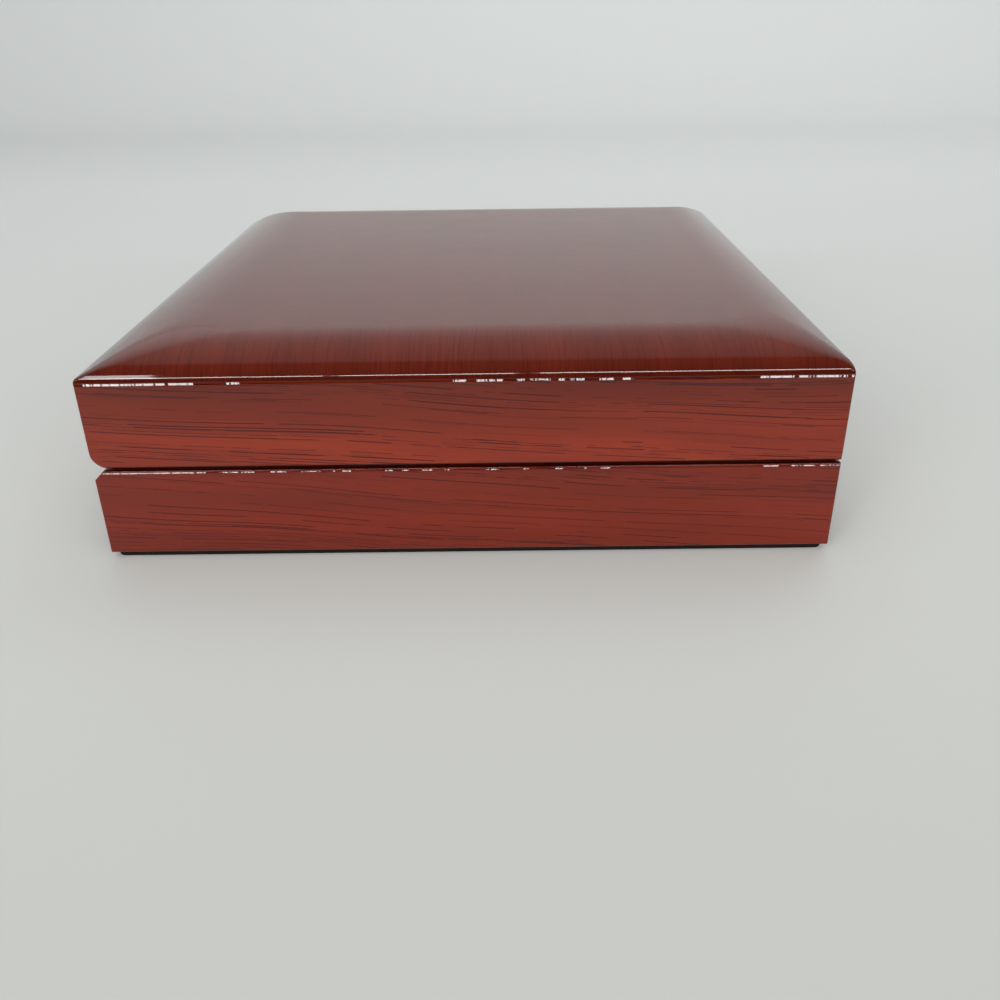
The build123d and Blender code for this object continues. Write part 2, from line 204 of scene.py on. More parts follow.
# Pores are thin tubes along X. Each comes and goes along its length and tapers where it ends.
def poreTubes(tree, column, row, grain, crowd, pore):
    parts = addNode(tree, "ShaderNodeSeparateXYZ", column, row)
    tree.links.new(grain, parts.inputs["Vector"])
    across = addNode(tree, "ShaderNodeCombineXYZ", column + 2, row)
    for index, axis in enumerate("YZ"):
        cell = mathStep(tree, "MULTIPLY", column + 1, row + index, parts.outputs[axis], 1 / pore["spacing"])
        tree.links.new(cell, across.inputs[index])
    tubes = addNode(tree, "ShaderNodeTexVoronoi", column + 3, row, voronoi_dimensions="2D", feature="F1")
    tubes.inputs["Scale"].default_value = 1.0
    tree.links.new(across.outputs["Vector"], tubes.inputs["Vector"])
    own = addNode(tree, "ShaderNodeSeparateXYZ", column + 4, row)
    tree.links.new(tubes.outputs["Color"], own.inputs["Vector"])
    along = addNode(tree, "ShaderNodeCombineXYZ", column + 6, row)
    travel = mathStep(tree, "MULTIPLY", column + 4, row + 1, parts.outputs["X"], 1 / pore["length"])
    line = mathStep(tree, "MULTIPLY", column + 5, row + 1, own.outputs["X"], veneer["noiseLines"])
    tree.links.new(travel, along.inputs["X"])
    tree.links.new(line, along.inputs["Y"])
    presence = addNode(tree, "ShaderNodeTexNoise", column + 7, row, noise_dimensions="2D")
    presence.inputs["Scale"].default_value = 1.0
    presence.inputs["Detail"].default_value = 1.0
    tree.links.new(along.outputs["Vector"], presence.inputs["Vector"])
    excess = mathStep(tree, "SUBTRACT", column + 8, row, presence.outputs["Fac"], crowd)
    radius = rescale(tree, column + 9, row, excess, *veneer["taper"], 0.0, pore["girth"])
    inside = mathStep(tree, "SUBTRACT", column + 10, row, radius, tubes.outputs["Distance"])
    return rescale(tree, column + 10, row + 1, inside, *veneer["edge"])


# Pores are the thin dark lines, figure the slow change of colour
def makeGrainGroup():
    tree, start, end = newGroup(
        "veneerGrain",
        [
            ("Vector", "NodeSocketVector", None),
            ("Bend", "NodeSocketVector", (0, 0, 1)),
            ("Pore Amount", "NodeSocketFloat", 0.5),
            ("Figure Contrast", "NodeSocketFloat", 1.0),
        ],
        [(name, "NodeSocketFloat") for name in ("Pores", "Fibre", "Figure", "Height")],
    )
    end.location.x = 13 * nodeSpacing[0]
    links = tree.links
    drift = stretchedNoise(tree, -5, 3, start.outputs["Vector"], veneer["drift"], 1.0)
    lift = mathStep(tree, "MULTIPLY_ADD", -3, 3, drift, veneer["sway"], -veneer["sway"] / 2)
    offset = addNode(tree, "ShaderNodeVectorMath", -2, 3, operation="SCALE")
    links.new(start.outputs["Bend"], offset.inputs["Vector"])
    links.new(lift, offset.inputs["Scale"])
    bent = addNode(tree, "ShaderNodeVectorMath", -1, 3, operation="ADD")
    links.new(start.outputs["Vector"], bent.inputs[0])
    links.new(offset.outputs["Vector"], bent.inputs[1])
    grain = bent.outputs["Vector"]
    clusters = stretchedNoise(tree, 0, 2, grain, veneer["clusters"], 2.0)
    fibre = stretchedNoise(tree, 0, 3, grain, veneer["fibre"], 2.0, 0.6)
    figure = stretchedNoise(tree, 0, 4, grain, veneer["figure"], 2.0)
    crowd = rescale(tree, 2, 2, clusters, 0.34, 0.62, *veneer["crowd"])
    coarse = poreTubes(tree, 0, -3, grain, crowd, veneer["coarse"])
    fine = poreTubes(tree, 0, -1, grain, crowd, veneer["fine"])
    fainter = mathStep(tree, "MULTIPLY", 11, 0, fine, veneer["fineShare"])
    lines = mathStep(tree, "MAXIMUM", 12, 0, coarse, fainter)
    links.new(mathStep(tree, "MULTIPLY", 12, 1, lines, start.outputs["Pore Amount"]), end.inputs["Pores"])
    links.new(rescale(tree, 4, 3, fibre, 0.3, 0.7), end.inputs["Fibre"])
    plain = rescale(tree, 4, 4, figure, 0.3, 0.7)
    centred = mathStep(tree, "SUBTRACT", 5, 4, plain, 0.5)
    spread = mathStep(tree, "MULTIPLY_ADD", 6, 4, centred, start.outputs["Figure Contrast"], 0.5)
    links.new(spread, end.inputs["Figure"])
    links.new(mathStep(tree, "MULTIPLY", 12, 2, lines, -1.0), end.inputs["Height"])
    return tree


# Slight unevenness of a thick lacquer, from soft waves to fine ripples: how high and how long
lacquer = {
    "gloss": 0.05, "index": 1.46,
    "wave": 0.00004, "waveLength": 0.012,
    "ripple": 0.000012, "rippleLength": 0.0026,
}


def makeLacquerGroup():
    tree, start, end = newGroup(
        "lacquerWaves",
        [
            ("Vector", "NodeSocketVector", None),
            ("Wave", "NodeSocketFloat", 1.0),
            ("Ripple", "NodeSocketFloat", 1.0),
        ],
        [("Height", "NodeSocketFloat")],
    )
    wave = evenNoise(tree, -4, 0, start.outputs["Vector"], lacquer["waveLength"], 1.0)
    ripple = evenNoise(tree, -4, 1, start.outputs["Vector"], lacquer["rippleLength"], 1.0)
    waves = mathStep(tree, "MULTIPLY", 0, 0, wave, start.outputs["Wave"])
    ripples = mathStep(tree, "MULTIPLY", 0, 1, ripple, start.outputs["Ripple"])
    tree.links.new(mathStep(tree, "ADD", 2, 0, waves, ripples), end.inputs["Height"])
    return tree


# Lacquer drawn thin along an arris leaves a narrow tilted facet. It comes and goes, so it glints in dashes.
glints = {
    "bar": (0.78, 0.55),            # noise level for a dash, and how much presence lowers it
    "uneven": (0.725, 0.55),        # least tilt, and how much noise adds
    "unevenLength": 0.0008,
    "wanderLength": 0.030,
    "dim": 0.5,                     # tilt left between two dashes
    "closing": 0.00012,             # over which the facet ends at its top
}


def makeFacetGroup(name, facet):
    tree, start, end = newGroup(name, [("Vector", "NodeSocketVector", None)], [("Height", "NodeSocketFloat")])
    parts = addNode(tree, "ShaderNodeSeparateXYZ", -5, 0)
    tree.links.new(start.outputs["Vector"], parts.inputs["Vector"])
    shifted = mathStep(tree, "ADD", -5, 1, parts.outputs["Y"], boxHalf)
    along = mathStep(tree, "ADD", -4, 1, parts.outputs["X"], shifted)
    flat = addNode(tree, "ShaderNodeCombineXYZ", -3, 1)
    tree.links.new(along, flat.inputs["X"])
    line = flat.outputs["Vector"]
    beads = stretchedNoise(tree, -2, 1, line, (facet["bead"], 1, 1), 1.0)
    wander = stretchedNoise(tree, -2, 2, line, (glints["wanderLength"], 1, 1), 1.0)
    uneven = stretchedNoise(tree, -2, 4, line, (glints["unevenLength"], 1, 1), 1.0)
    spot = rescale(tree, -2, 3, along, -boxHalf, boxHalf, smooth=False)
    stops = [((place + boxHalf) / (2 * boxHalf), (share, share, share)) for place, share in facet["presence"]]
    ramp = colourRamp(tree, -1, 3, stops)
    tree.links.new(spot, ramp.inputs["Fac"])
    highest, lowered = glints["bar"]
    bar = mathStep(tree, "MULTIPLY_ADD", 1, 3, ramp.outputs["Color"], -lowered, highest)
    excess = mathStep(tree, "SUBTRACT", 1, 1, beads, bar)
    lit = rescale(tree, 2, 1, excess, -0.05, 0.05, glints["dim"], 1.0)
    least, added = glints["uneven"]
    tilt = mathStep(tree, "MULTIPLY", 3, 1, lit, mathStep(tree, "MULTIPLY_ADD", 0, 4, uneven, added, least))
    level = -facet["level"] - facet["wander"] / 2
    wandering = mathStep(tree, "MULTIPLY_ADD", 0, 2, wander, facet["wander"], level)
    climb = mathStep(tree, "ADD", 1, 0, parts.outputs["Z"], wandering)
    width = facet["width"]
    above = rescale(tree, 2, 0, climb, 0.0, width, 0.0, -facet["tilt"] * width, smooth=False)
    closed = rescale(tree, 2, 2, climb, width, width + glints["closing"], 1.0, 0.0)
    height = mathStep(tree, "MULTIPLY", 3, 0, above, closed)
    tree.links.new(mathStep(tree, "MULTIPLY", 4, 0, height, tilt), end.inputs["Height"])
    return tree


grainGroup = makeGrainGroup()
lacquerGroup = makeLacquerGroup()
print("grain and lacquer groups made")


# Lacquered wood, one finish for each direction of grain. Shade is painted shade: the height where it is
# darkest, the height where it is gone, and how dark it gets.
# pale and deep are the stains' own colours; shade is painted shade towards the top edge of each shell
lidStainAndShade = {"pale": (0.262, 0.0250, 0.0055), "deep": (0.172, 0.0150, 0.0033), "shade": (0.0424, 0.0270, 0.52)}
baseStainAndShade = {"pale": (0.198, 0.0140, 0.0022), "deep": (0.124, 0.0090, 0.0015), "shade": (0.0222, 0.0180, 0.78)}
topStainAndShade = {"pale": (0.146, 0.0160, 0.0062), "deep": (0.104, 0.0105, 0.0038), "shade": (0.0424, 0.0475, 0.52)}
flatGrain = {"bend": (0, 0, 1), "stretch": (1, 1, 1), "pores": 1.0}
woodFinishes = {
    "lidSides": {**lidStainAndShade, **flatGrain, "turn": (0, -2.8, 0)},
    "lidEnds": {**lidStainAndShade, **flatGrain, "turn": (0, 0, 90)},
    "baseSides": {**baseStainAndShade, **flatGrain, "turn": (0, -3.5, 0)},
    "baseEnds": {**baseStainAndShade, **flatGrain, "turn": (0, 0, 90), "pale": (0.203, 0.0160, 0.0028)},
    "top": {**topStainAndShade, "turn": (0, 0, 90), "bend": (0, 1, 0), "stretch": (1, 1, 0.04), "pores": 0.50},
}
poreColour = (0.068, 0.0022, 0.0005)
figureContrast = 0.65
fibreShare = 0.42
# painted shade between the two rims: how far in from the edge, and the heights over which it starts and ends
paintedSeamShade = {"reach": 0.0009, "low": (0.0218, 0.0220), "high": (0.0229, 0.0233), "strength": 0.85}
# level is the facet's lower edge; presence is how much of it shows, by how far along the side it is
facets = {
    "lidFacet": {
        "level": 0.04190, "width": 0.00050, "tilt": 0.384, "bead": 0.0042, "wander": 0.0003,
        "presence": [
            (-0.0825, 0.0), (-0.0806, 0.0), (-0.0802, 1.0), (-0.0640, 1.0), (-0.0625, 0.35),
            (-0.0612, 0.9), (-0.0575, 0.9), (-0.0565, 0.0), (-0.0500, 0.0), (-0.0496, 1.0),
            (-0.0474, 1.0), (-0.0470, 0.0), (-0.006, 0.0), (-0.002, 0.60), (0.034, 0.60),
            (0.037, 0.0), (0.060, 0.0), (0.063, 0.75), (0.0825, 0.75),
        ],
    },
    "baseFacet": {
        "level": 0.02131, "width": 0.00028, "tilt": 0.449, "bead": 0.0036, "wander": 0.0001,
        "presence": [
            (-0.0825, 0.95), (-0.070, 0.85), (-0.060, 0.58), (0.038, 0.46), (0.041, 0.0),
            (0.063, 0.0), (0.066, 0.65), (0.0825, 0.65),
        ],
    },
}
facetGroups = [makeFacetGroup(name, facet) for name, facet in facets.items()]


def woodColour(tree, place, finish):
    turned = addNode(tree, "ShaderNodeMapping", -11, 0)
    turned.inputs["Rotation"].default_value = tuple(math.radians(angle) for angle in finish["turn"])
    turned.inputs["Scale"].default_value = finish["stretch"]
    tree.links.new(place, turned.inputs["Vector"])
    amounts = {"Pore Amount": finish["pores"], "Bend": finish["bend"], "Figure Contrast": figureContrast}
    grain = useGroup(tree, grainGroup, -9, 0, **amounts)
    tree.links.new(turned.outputs["Vector"], grain.inputs["Vector"])
    plain = mixColours(tree, -6, 0, grain.outputs["Figure"], finish["deep"], finish["pale"])
    fibre = mathStep(tree, "MULTIPLY", -5, 1, grain.outputs["Fibre"], fibreShare)
    fibred = mixColours(tree, -4, 0, fibre, plain, finish["deep"])
    return mixColours(tree, -3, 0, grain.outputs["Pores"], fibred, poreColour)


# Painted shade: darker towards the top edge of each shell, and dark between the two rims
def paintedShadeTone(tree, place, shade):
    parts = addNode(tree, "ShaderNodeSeparateXYZ", -8, 2)
    tree.links.new(place, parts.inputs["Vector"])
    darkest, clear, strength = shade
    toned = rescale(tree, -5, 2, parts.outputs["Z"], clear, darkest, 1.0, strength, smooth=False)
    outX, outY = (mathStep(tree, "ABSOLUTE", -7, 3 + row, parts.outputs[axis]) for row, axis in enumerate("XY"))
    outward = mathStep(tree, "MAXIMUM", -6, 3, outX, outY)
    # painted shade where the two rims meet
    reach = paintedSeamShade["reach"]
    nearEdge = rescale(tree, -5, 3, outward, boxHalf - reach, boxHalf - reach / 2)
    under = rescale(tree, -5, 4, parts.outputs["Z"], *paintedSeamShade["high"], 1.0, 0.0)
    over = rescale(tree, -5, 5, parts.outputs["Z"], *paintedSeamShade["low"])
    seam = mathStep(tree, "MULTIPLY", -4, 4, mathStep(tree, "MULTIPLY", -4, 3, nearEdge, under), over)
    seamTone = mathStep(tree, "MULTIPLY_ADD", -3, 4, seam, -paintedSeamShade["strength"], 1.0)
    shadeLevel = mathStep(tree, "MULTIPLY", -3, 3, toned, seamTone)
    tone = addNode(tree, "ShaderNodeCombineXYZ", -2, 2)
    for axis in "XYZ":
        tree.links.new(shadeLevel, tone.inputs[axis])
    return tone.outputs["Vector"]


def lacqueredWood(name, finish):
    material, tree, shader = newMaterial(name, lacquer["gloss"])
    shader.inputs["IOR"].default_value = lacquer["index"]
    place = addNode(tree, "ShaderNodeTexCoord", -12, 0).outputs["Object"]
    colour = woodColour(tree, place, finish)
    # painted shade, multiplied into the wood's colour
    tone = paintedShadeTone(tree, place, finish["shade"])
    tree.links.new(mixColours(tree, -1, 0, 1.0, colour, tone, "MULTIPLY"), shader.inputs["Base Color"])
    waves = useGroup(tree, lacquerGroup, -8, 6, Wave=lacquer["wave"], Ripple=lacquer["ripple"])
    tree.links.new(place, waves.inputs["Vector"])
    height = waves.outputs["Height"]
    for row, group in enumerate(facetGroups):
        facet = useGroup(tree, group, -8, 7 + row)
        tree.links.new(place, facet.inputs["Vector"])
        height = mathStep(tree, "ADD", -5, 6 + row, height, facet.outputs["Height"])
    addBump(tree, shader, height, 1.0)
    return material


def dress(node, material):
    piece = nodes[node]
    piece.data.materials.clear()
    piece.data.materials.append(material)


woods = {name: lacqueredWood(name, finish) for name, finish in woodFinishes.items()}
for shell in ("base", "lid"):
    for side in ("right", "left"):
        dress(f"{shell}_{side}_rail", woods[f"{shell}Sides"])
    for side in ("front", "back"):
        dress(f"{shell}_{side}_rail", woods[f"{shell}Ends"])
dress("lid_top_panel", woods["top"])
print("lacquered wood dressed")


# Plain finishes of the fittings and of what is under the box
def plainTexture(tree, size, detail=2.0):
    place = addNode(tree, "ShaderNodeTexCoord", -12, 0)
    return place.outputs["Object"], stretchedNoise(tree, -10, 0, place.outputs["Object"], size, detail)


metalFinishes = {
    "brass": {
        "bright": (0.86, 0.64, 0.30), "dull": (0.76, 0.55, 0.24), "smooth": 0.24, "rough": 0.33,
        "lines": (0.0003, 0.004, 0.0003),
    },
    "nickel": {
        "bright": (0.74, 0.72, 0.69), "dull": (0.58, 0.57, 0.55), "smooth": 0.16, "rough": 0.30,
        "lines": (0.0004, 0.0004, 0.0004),
    },
}
stainSize = 0.006
brushDepth = 0.000002


def metal(name, finish):
    material, tree, shader = newMaterial(name, finish["smooth"])
    place, lines = plainTexture(tree, finish["lines"])
    stains = evenNoise(tree, -10, 2, place, stainSize, 3.0)
    shader.inputs["Metallic"].default_value = 1.0
    dulled = rescale(tree, -6, 2, stains, 0.4, 0.75)
    colour = mixColours(tree, -4, 0, dulled, finish["bright"], finish["dull"])
    roughness = rescale(tree, -4, 2, stains, 0.3, 0.7, finish["smooth"], finish["rough"])
    tree.links.new(colour, shader.inputs["Base Color"])
    tree.links.new(roughness, shader.inputs["Roughness"])
    addBump(tree, shader, lines, brushDepth)
    return material


felt = {
    "dark": (0.006, 0.0040, 0.0030), "light": (0.018, 0.012, 0.009), "rough": 0.95, "shine": 0.15,
    "fuzz": (0.0004, 0.0004, 0.0004), "patch": 0.004, "depth": 0.00025,
}


def feltFinish():
    material, tree, shader = newMaterial("darkFelt", felt["rough"])
    place, fuzz = plainTexture(tree, felt["fuzz"], 4.0)
    patches = evenNoise(tree, -10, 2, place, felt["patch"], 3.0)
    tree.links.new(mixColours(tree, -4, 0, patches, felt["dark"], felt["light"]), shader.inputs["Base Color"])
    shader.inputs["Specular IOR Level"].default_value = felt["shine"]
    addBump(tree, shader, fuzz, felt["depth"])
    return material


plywood = {
    "deep": (0.42, 0.27, 0.14), "pale": (0.58, 0.42, 0.25), "poreColour": (0.25, 0.14, 0.07), "pores": 0.4,
    "rough": 0.6, "depth": 0.00005,
}


def plywoodFinish():
    material, tree, shader = newMaterial("sandedPlywood", plywood["rough"])
    place = addNode(tree, "ShaderNodeTexCoord", -12, 0)
    grain = useGroup(tree, grainGroup, -9, 0, **{"Pore Amount": plywood["pores"]})
    tree.links.new(place.outputs["Object"], grain.inputs["Vector"])
    plain = mixColours(tree, -5, 0, grain.outputs["Figure"], plywood["deep"], plywood["pale"])
    pored = mixColours(tree, -3, 0, grain.outputs["Pores"], plain, plywood["poreColour"])
    tree.links.new(pored, shader.inputs["Base Color"])
    addBump(tree, shader, grain.outputs["Height"], plywood["depth"])
    return material


# Short pile: close fibres, and a nap that lies lighter or darker in soft patches
pileShape = {
    "fibre": 0.00022, "brushed": (0.010, 0.016, 0.010), "fine": 0.0012, "fineShare": 0.35, "sheenRough": 0.45,
}


def makePileGroup():
    tree, start, end = newGroup(
        "shortPile",
        [("Vector", "NodeSocketVector", None), ("Nap", "NodeSocketFloat", 1.0)],
        [("Nap", "NodeSocketFloat"), ("Height", "NodeSocketFloat")],
    )
    fibres = evenNoise(tree, -4, 0, start.outputs["Vector"], pileShape["fibre"])
    brushed = stretchedNoise(tree, -4, 1, start.outputs["Vector"], pileShape["brushed"], 3.0, 0.6)
    fine = evenNoise(tree, -4, 2, start.outputs["Vector"], pileShape["fine"])
    soft = rescale(tree, 0, 1, brushed, 0.25, 0.80)
    both = mathStep(tree, "MULTIPLY_ADD", 1, 1, fine, pileShape["fineShare"], soft)
    tree.links.new(mathStep(tree, "MULTIPLY", 2, 1, both, start.outputs["Nap"]), end.inputs["Nap"])
    tree.links.new(fibres, end.inputs["Height"])
    return tree


pileGroup = makePileGroup()

clothFinishes = {
    "velvetLining": {
        "dark": (0.46, 0.39, 0.30), "light": (0.60, 0.52, 0.41), "rough": 0.85, "sheen": 0.7, "nap": 0.65,
        "depth": 0.00010,
    },
    "velvetRoll": {
        "dark": (0.50, 0.43, 0.33), "light": (0.66, 0.58, 0.46), "rough": 0.85, "sheen": 0.8, "nap": 0.65,
        "depth": 0.00010,
    },
    "satin": {
        "dark": (0.56, 0.50, 0.40), "light": (0.70, 0.64, 0.53), "rough": 0.34, "sheen": 0.2, "nap": 0.5,
        "depth": 0.00003,
    },
    "paddedSatin": {
        "dark": (0.60, 0.54, 0.44), "light": (0.68, 0.62, 0.51), "rough": 0.34, "sheen": 0.2, "nap": 0.5,
        "depth": 0.00003,
    },
}


def cloth(name, finish):
    material, tree, shader = newMaterial(name, finish["rough"])
    place = addNode(tree, "ShaderNodeTexCoord", -12, 0)
    pile = useGroup(tree, pileGroup, -8, 0, Nap=finish["nap"])
    tree.links.new(place.outputs["Object"], pile.inputs["Vector"])
    colour = mixColours(tree, -4, 0, pile.outputs["Nap"], finish["dark"], finish["light"])
    tree.links.new(colour, shader.inputs["Base Color"])
    shader.inputs["Sheen Weight"].default_value = finish["sheen"]
    shader.inputs["Sheen Roughness"].default_value = pileShape["sheenRough"]
    height = mathStep(tree, "MULTIPLY", -5, 4, pile.outputs["Height"], finish["depth"])
    addBump(tree, shader, height, 1.0)
    return material


metals = {name: metal(name, finish) for name, finish in metalFinishes.items()}
cloths = {name: cloth(name, finish) for name, finish in clothFinishes.items()}
for shell in ("base", "lid"):
    for side in ("front", "back", "right", "left"):
        dress(f"{shell}_{side}_lining", cloths["velvetLining"])
    for number in (1, 2):
        dress(f"{shell}_hinge_leaf_{number}", metals["brass"])
    dress(f"{shell}_hinge_screws", metals["brass"])
    dress(f"{shell}_magnets", metals["nickel"])
for name in ("base_floor_lining", "lid_ceiling_lining", "long_divider", "bay_divider_1", "bay_divider_2"):
    dress(name, cloths["velvetLining"])
for number in (1, 2):
    dress(f"hinge_pin_{number}", metals["brass"])
dress("base_felt_sole", feltFinish())
dress("base_bottom_panel", plywoodFinish())
print("fittings and linings dressed")


# Countersunk screw with a slot, modelled once and copied to each seat
screwShape = {
    "headRadius": 0.0017,
    "shankRadius": 0.0009,
    "length": 0.0070,
    "slot": (0.00045, 0.00040),       # wide and deep
    "tip": (0.0012, 0.35),            # how long, and how much narrower at its end
    "edge": 0.00008,
    "steps": 28,
    "turns": (24, 71, 8, 137, 52, 101, 165, 38),      # degrees, how each slot ended up
}


def slottedScrew(shape):
    # head up at the origin
    bpy.ops.mesh.primitive_circle_add(
        vertices=shape["steps"], radius=shape["headRadius"], fill_type="NGON", location=(0, 0, 0))
    screw = bpy.context.object
    screw.name = "slottedScrew"
    bpy.ops.object.mode_set(mode="EDIT")
    bpy.ops.mesh.select_all(action="SELECT")
    neck = shape["shankRadius"] / shape["headRadius"]
    cone = shape["headRadius"] - shape["shankRadius"]
    tip, narrower = shape["tip"]
    for drop, scale in ((cone, neck), (shape["length"] - cone - tip, 1.0), (tip, narrower)):
        bpy.ops.mesh.extrude_region_move(TRANSFORM_OT_translate={"value": (0, 0, -drop)})
        bpy.ops.transform.resize(value=(scale, scale, 1), center_override=(0, 0, 0))
    bpy.ops.mesh.select_all(action="SELECT")
    bpy.ops.mesh.normals_make_consistent(inside=False)
    bpy.ops.object.mode_set(mode="OBJECT")
    width, depth = shape["slot"]
    bpy.ops.mesh.primitive_cube_add(size=1, location=(0, 0, 0))
    cutter = bpy.context.object
    cutter.scale = (4 * shape["headRadius"], width, 2 * depth)
    bpy.ops.object.transform_apply(location=True, rotation=True, scale=True)
    cut = screw.modifiers.new("Slot", "BOOLEAN")
    cut.operation = "DIFFERENCE"
    cut.object = cutter
    eased = screw.modifiers.new("Eased edges", "BEVEL")
    eased.width = shape["edge"]
    eased.segments = 2
    eased.angle_limit = math.radians(40)
    applyAll(screw)
    bpy.data.objects.remove(cutter, do_unlink=True)
    selectOnly(screw)
    bpy.ops.object.shade_smooth_by_angle(angle=math.radians(35))
    return screw


def screwSeats(node, apart=0.005):
    # middle of each screw of a CAD node, seen from above; points closer than apart belong to one screw
    heaps = []
    for vertex in nodes[node].data.vertices:
        heap = next((heap for heap in heaps if (heap[0] - vertex.co).xy.length < apart), None)
        if heap is None:
            heaps.append([vertex.co.copy()])
        else:
            heap.append(vertex.co.copy())
    seats = []
    for heap in heaps:
        sides = [[point[axis] for point in heap] for axis in (0, 1)]
        seats.append([(min(side) + max(side)) / 2 for side in sides])
    return sorted(seats, key=lambda seat: seat[1])


def driveScrews(screw, shape):
    # the base's screws are driven down from its rim, and the lid's up from its own
    turns = iter(shape["turns"])
    for shell, upright in (("base", True), ("lid", False)):
        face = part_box(f"{shell}_hinge_screws")[1 if upright else 0].z
        for number, (placeX, placeY) in enumerate(screwSeats(f"{shell}_hinge_screws"), start=1):
            other = copyPiece(screw, f"{shell}Screw_{number}", (0, 0, 0))
            spin = Matrix.Rotation(math.radians(next(turns)), 4, "Z")
            flip = Matrix.Identity(4) if upright else Matrix.Rotation(math.pi, 4, "X")
            other.data.transform(Matrix.Translation((placeX, placeY, face)) @ spin @ flip)
            settle(other, shell, [f"{shell}_hinge_screws"])
    bpy.data.objects.remove(screw, do_unlink=True)


# Stuffed pieces: each starts as a slightly smaller copy of the space it fills, and is blown up as cloth.
# The cloth runs on a copy ten times larger, where its solver is steady.
simScale = 10.0
softPieces = {
    "ringRoll": {
        "copies": "ring_roll_1", "shrink": (0.93, 0.995, 0.95), "voxel": 0.0011, "pressure": 1.6,
        "cap": 0.0006, "frames": 14, "pinned": "foot",
    },
    "braceletPillow": {
        "copies": "bracelet_pillow", "shrink": (0.97, 0.96, 0.86), "voxel": 0.0012, "pressure": 3.0,
        "cap": 0.0022, "frames": 18, "pinned": None,
    },
    "lidPad": {
        "copies": "lid_pad", "shrink": (0.997, 0.997, 0.80), "voxel": 0.0019, "pressure": 3.0,
        "cap": 0.0022, "frames": 18, "pinned": "panel",
    },
}
clothRun = {"quality": 5, "mass": 0.3, "stiffness": 15, "bending": 0.6, "pinned": 0.12}


def selectOnly(*pieces):
    bpy.ops.object.select_all(action="DESELECT")
    for piece in pieces:
        piece.select_set(True)
    bpy.context.view_layer.objects.active = pieces[0]


def looseCopy(node, name):
    piece = nodes[node].copy()
    piece.data = nodes[node].data.copy()
    piece.name = name
    piece.parent = None
    for key in list(piece.keys()):
        del piece[key]
    piece.data.materials.clear()
    scene.collection.objects.link(piece)
    selectOnly(piece)
    bpy.ops.object.mode_set(mode="EDIT")
    bpy.ops.mesh.select_all(action="SELECT")
    bpy.ops.mesh.remove_doubles(threshold=0.00001)
    bpy.ops.object.mode_set(mode="OBJECT")
    return piece


def applyAll(piece):
    selectOnly(piece)
    for modifier in list(piece.modifiers):
        bpy.ops.object.modifier_apply(modifier=modifier.name)


def blowUp(piece, settings):
    # a short cloth run with pressure and no gravity, and a limit on how far any point may move
    before = [vertex.co.copy() for vertex in piece.data.vertices]
    lowest = min(point.z for point in before)
    highest = max(point.z for point in before)
    pinLimit = clothRun["pinned"] * (highest - lowest)
    pins = piece.vertex_groups.new(name="glued")
    for index, point in enumerate(before):
        held = settings["pinned"] == "foot" and point.z < lowest + pinLimit
        held = held or settings["pinned"] == "panel" and point.z > highest - pinLimit
        if held:
            pins.add([index], 1.0, "REPLACE")
    clothStep = piece.modifiers.new("Cloth", "CLOTH")
    clothStep.settings.quality = clothRun["quality"]
    clothStep.settings.mass = clothRun["mass"]
    clothStep.settings.use_pressure = True
    clothStep.settings.uniform_pressure_force = settings["pressure"]
    clothStep.settings.effector_weights.gravity = 0
    clothStep.settings.tension_stiffness = clothRun["stiffness"]
    clothStep.settings.compression_stiffness = clothRun["stiffness"]
    clothStep.settings.bending_stiffness = clothRun["bending"]
    if settings["pinned"]:
        clothStep.settings.vertex_group_mass = "glued"
    clothStep.point_cache.frame_start = 1
    clothStep.point_cache.frame_end = settings["frames"]
    for step in range(1, settings["frames"] + 1):
        scene.frame_set(step)
    applyAll(piece)
    scene.frame_set(1)
    limit = settings["cap"] * simScale
    for vertex, start in zip(piece.data.vertices, before):
        move = vertex.co - start
        if move.length > limit:
            vertex.co = start + move.normalized() * limit


def stuffedPiece(name, settings):
    piece = looseCopy(settings["copies"], name)
    low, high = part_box(settings["copies"])
    middle = (low + high) / 2
    shrink = settings["shrink"]
    grown = Matrix.Diagonal((shrink[0] * simScale, shrink[1] * simScale, shrink[2] * simScale, 1))
    piece.data.transform(grown @ Matrix.Translation(-middle))
    piece.data.remesh_voxel_size = settings["voxel"] * simScale
    selectOnly(piece)
    bpy.ops.object.voxel_remesh()
    relax = piece.modifiers.new("Relax", "SMOOTH")
    relax.factor = 0.5
    relax.iterations = 6
    applyAll(piece)
    blowUp(piece, settings)
    rounded = piece.modifiers.new("Rounded", "SUBSURF")
    rounded.levels = rounded.render_levels = 1
    applyAll(piece)
    piece.data.transform(Matrix.Scale(1 / simScale, 4))
    # brought back to rest on what carries it
    lowest = min(vertex.co.z for vertex in piece.data.vertices)
    highest = max(vertex.co.z for vertex in piece.data.vertices)
    half = (high.z - low.z) / 2
    rise = half - highest if settings["pinned"] == "panel" else -half - lowest
    piece.data.transform(Matrix.Translation(middle + Vector((0, 0, rise))))
    piece.data.update()
    bpy.ops.object.shade_smooth()
    return piece


# Folds round a pad, where its cover is pulled under the edge. They run in from the edge by reach.
padGathers = {"depth": 0.0016, "pitch": 0.0050, "length": 0.040, "reach": 0.022, "seed": 9.0}


